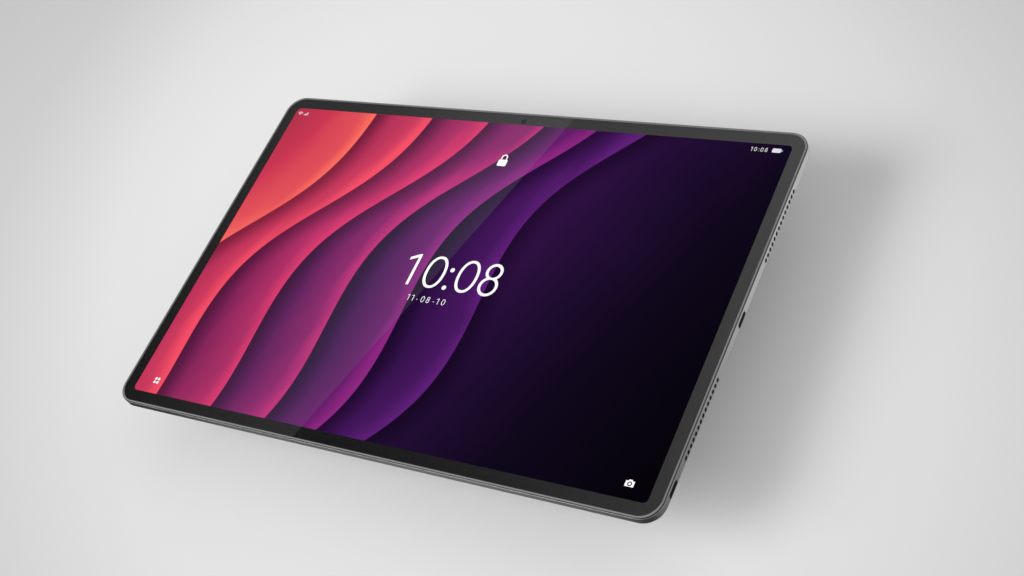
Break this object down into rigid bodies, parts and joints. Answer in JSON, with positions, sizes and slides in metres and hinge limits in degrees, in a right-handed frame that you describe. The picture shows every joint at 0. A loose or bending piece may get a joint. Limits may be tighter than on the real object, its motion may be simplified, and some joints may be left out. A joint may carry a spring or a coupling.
{
  "type": "tablet computer",
  "caption": "Large slim tablet computer with a glass front, an aluminium tray body, a raised glossy camera band across the upper rear, side speakers, sockets, keys and a card tray.",
  "frame": {"origin": "under the middle of the tablet, on the plane of the raised rear band that the tablet rests on", "axes": "+X along the long side, to the right as seen from the front; +Y towards the long edge with the front camera; +Z out of the screen"},
  "size_m": [0.3278, 0.2111, 0.0071],
  "materials": {
    "antenna_copper": "foil",
    "antenna_plastic": "moulded",
    "adhesive": "matte",
    "nameplate": "satin",
    "circuit_board": "solder mask",
    "battery_foil": "black film over foil",
    "flex_cable": "film",
    "chip_black": "moulded",
    "connector_plastic": "moulded",
    "screw_steel": "black zinc",
    "lens_glass": "coated",
    "module_black": "matte",
    "ring_metal": "polished bevel",
    "lens_window": "gloss",
    "shield_steel": "satin",
    "tray_aluminium": "fine blasted, anodised",
    "cover_glass": "polished",
    "display": "lit screen",
    "seal_polymer": "matte",
    "sensor_cover": "coated",
    "led_emitter": "gloss",
    "flash_diffuser": "clear ribbed",
    "mesh_black": "woven",
    "graphite": "graphite film",
    "optical_clear": "clear film",
    "key_aluminium": "fine blasted, anodised",
    "switch_body": "moulded",
    "band_gloss": "polished, gloss",
    "body_aluminium": "fine blasted, anodised",
    "speaker_plastic": "moulded",
    "socket_steel": "satin",
    "socket_tongue": "moulded"
  },
  "bodies": {
    "tablet": {"antenna_patches": "antenna_copper", "antenna_windows": "antenna_plastic", "band_adhesive": "adhesive", "band_nameplate": "nameplate", "battery_board": "circuit_board", "battery_cell_left": "battery_foil", "battery_cell_right": "battery_foil", "battery_flex": "flex_cable", "board_chips": "chip_black", "board_connectors": "connector_plastic", "board_screws": "screw_steel", "camera_flexes": "flex_cable", "camera_lens_main": "lens_glass", "camera_lens_wide": "lens_glass", "camera_module_main": "module_black", "camera_module_wide": "module_black", "camera_ring_main": "ring_metal", "camera_ring_wide": "ring_metal", "camera_window_main": "lens_window", "camera_window_wide": "lens_window", "card_reader": "shield_steel", "cover_glass": "cover_glass", "display_flex": "flex_cable", "display_panel": "display", "display_support_frame": "seal_polymer", "flash_led": "led_emitter", "flash_lens": "flash_diffuser", "flash_ring": "ring_metal", "front_camera": "module_black", "front_camera_lens": "lens_glass", "glass_bond_tape": "adhesive", "grille_meshes": "mesh_black", "heat_spreader": "graphite", "mainboard": "circuit_board", "microphone": "module_black", "optical_adhesive": "optical_clear", "port_flex": "flex_cable", "power_switch": "switch_body", "rear_band_cover": "band_gloss", "rear_housing": "body_aluminium", "shield_can_main": "shield_steel", "shield_can_radio": "shield_steel", "side_key_flex": "flex_cable", "soc_chip": "chip_black", "speaker_lower_left": "speaker_plastic", "speaker_lower_right": "speaker_plastic", "speaker_upper_left": "speaker_plastic", "speaker_upper_right": "speaker_plastic", "usb_board_centre": "circuit_board", "usb_board_corner": "circuit_board", "usb_bracket": "shield_steel", "usb_port_centre": "socket_steel", "usb_port_corner": "socket_steel", "usb_tongue_centre": "socket_tongue", "usb_tongue_corner": "socket_tongue", "volume_switch_board": "switch_body"},
    "power_key": {"power_button": "key_aluminium", "fingerprint_sensor": "sensor_cover"},
    "volume_key": {"volume_rocker": "key_aluminium"},
    "tray": {"card_tray": "tray_aluminium"}
  },
  "joints": [
    {"name": "power_press", "type": "slide", "parent": "tablet", "child": "power_key", "axis": [1, 0, 0], "range_m": [0, 0.00025], "stiffness_N_per_m": 4000},
    {"name": "volume_rock", "type": "hinge", "parent": "tablet", "child": "volume_key", "pos_m": [-0.134, 0.1032, 0.0035], "axis": [0, 0, 1], "range_deg": [-1.3, 1.3], "stiffness_Nm_per_rad": 0.8},
    {"name": "tray_slide", "type": "slide", "parent": "tablet", "child": "tray", "axis": [0, 1, 0], "range_m": [0, 0.02]}
  ]
}
